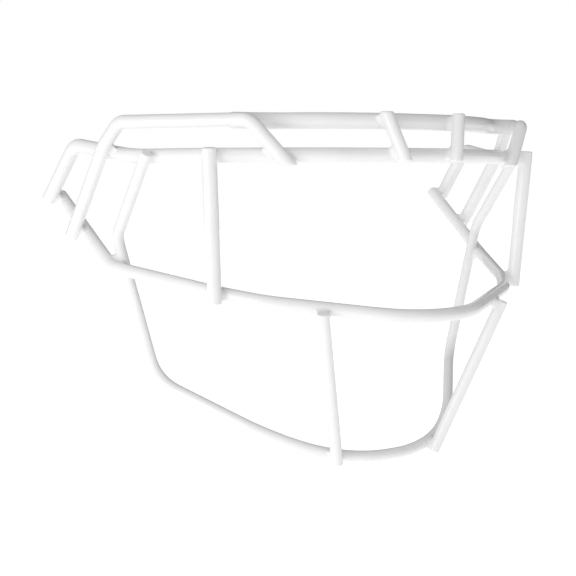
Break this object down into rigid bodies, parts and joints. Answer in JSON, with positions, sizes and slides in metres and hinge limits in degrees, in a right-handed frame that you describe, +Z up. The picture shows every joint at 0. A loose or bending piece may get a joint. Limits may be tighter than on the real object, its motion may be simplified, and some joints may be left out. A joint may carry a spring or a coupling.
{
  "type": "football helmet facemask",
  "caption": "White coated wire face guard for a football helmet: bent bars around an eye port and a mouth window, with loops at the temples.",
  "frame": {"origin": "on the mid-plane, at the centre of the brow bar's wire at the front, where the helmet's front clip holds it", "axes": "+X to the wearer's left, -Y forward out of the eye port, +Z up"},
  "size_m": [0.2576, 0.1566, 0.1668],
  "materials": {
    "white_coat": "glossy white coat over steel wire"
  },
  "bodies": {
    "root": {"brow_bar": "white_coat", "top_bar": "white_coat", "mid_bar": "white_coat", "jaw_bar": "white_coat", "left_loop": "white_coat", "right_loop": "white_coat", "left_upright": "white_coat", "right_upright": "white_coat", "left_chin_upright": "white_coat", "right_chin_upright": "white_coat", "left_strut": "white_coat", "right_strut": "white_coat", "welds_mid_to_brow_legs": "white_coat", "welds_jaw_to_brow": "white_coat", "welds_jaw_to_mid": "white_coat", "welds_loops_to_mid": "white_coat", "welds_loops_to_brow_sides": "white_coat", "welds_loops_to_brow_front": "white_coat", "welds_loops_to_top": "white_coat", "welds_uprights_to_brow": "white_coat", "welds_uprights_to_mid": "white_coat", "welds_chin_uprights_to_mid": "white_coat", "welds_chin_uprights_to_jaw": "white_coat", "welds_struts_to_top": "white_coat", "welds_struts_to_brow": "white_coat"}
  },
  "joints": []
}
